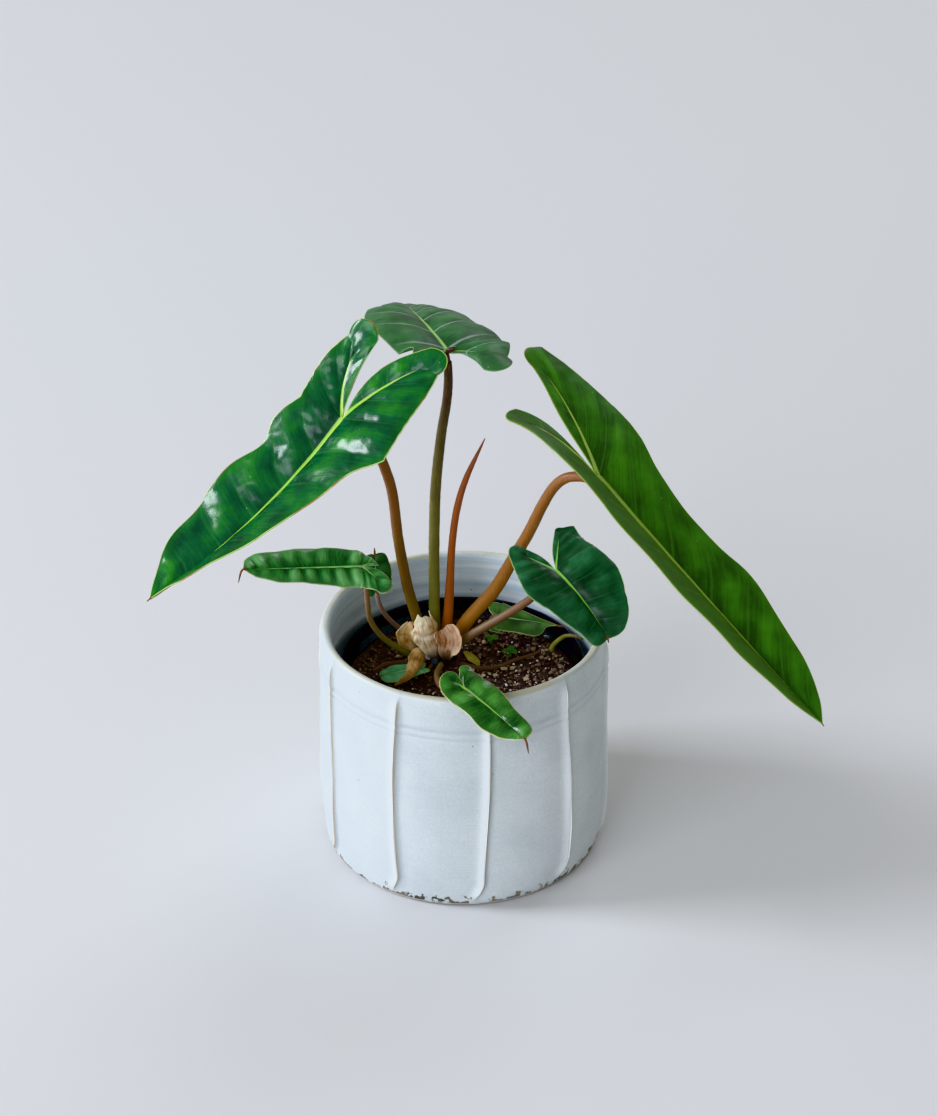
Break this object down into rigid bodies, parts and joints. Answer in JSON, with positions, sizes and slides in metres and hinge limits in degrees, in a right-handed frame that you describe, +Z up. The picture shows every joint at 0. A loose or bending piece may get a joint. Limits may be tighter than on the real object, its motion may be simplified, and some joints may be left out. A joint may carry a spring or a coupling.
{
  "type": "potted philodendron billietiae",
  "caption": "Young aroid with long glossy heart-based leaves on tan stalks, in a nursery pot inside a ribbed pale glazed stoneware cachepot.",
  "frame": {"origin": "centre of the cachepot's flat foot, on the surface that it stands on", "axes": "+Z up, -Y towards the front, +X to the right seen from the front"},
  "size_m": [0.3859, 0.2814, 0.3494],
  "materials": {
    "glaze": "satin pale blue-white stoneware glaze",
    "black_plastic": "glossy black",
    "earth": "dark crumbly potting mix with white grains",
    "cork": "grey-brown, corky",
    "leaf": "glossy dark green, quilted",
    "leaf_matt": "matt dark green with pale veins",
    "orange_stalk": "satin orange-brown",
    "olive_stalk": "satin olive-brown",
    "pink_stalk": "satin pinkish-brown",
    "sheath": "dry, papery tan",
    "dry_leaf": "dry yellow",
    "yellow_stalk": "satin yellow-green"
  },
  "bodies": {
    "root": {"blade_back": "leaf", "blade_behind": "leaf", "blade_front": "leaf", "blade_left": "leaf", "blade_low": "leaf", "blade_medium": "leaf", "blade_narrow": "leaf", "blade_right": "leaf", "blade_top": "leaf_matt", "cachepot": "glaze", "crown": "cork", "fallen_leaf": "dry_leaf", "new_leaf_spike": "orange_stalk", "nursery_pot": "black_plastic", "old_petiole": "cork", "petiole_back": "pink_stalk", "petiole_behind": "pink_stalk", "petiole_front": "pink_stalk", "petiole_left": "orange_stalk", "petiole_low": "pink_stalk", "petiole_medium": "pink_stalk", "petiole_narrow": "olive_stalk", "petiole_right": "orange_stalk", "petiole_top": "olive_stalk", "seedling_1": "leaf", "seedling_2": "leaf", "sheath_centre": "sheath", "sheath_hanging": "sheath", "sheath_left": "sheath", "sheath_right": "sheath", "soil": "earth", "surface_root": "cork", "yellow_stem": "yellow_stalk"}
  },
  "joints": []
}
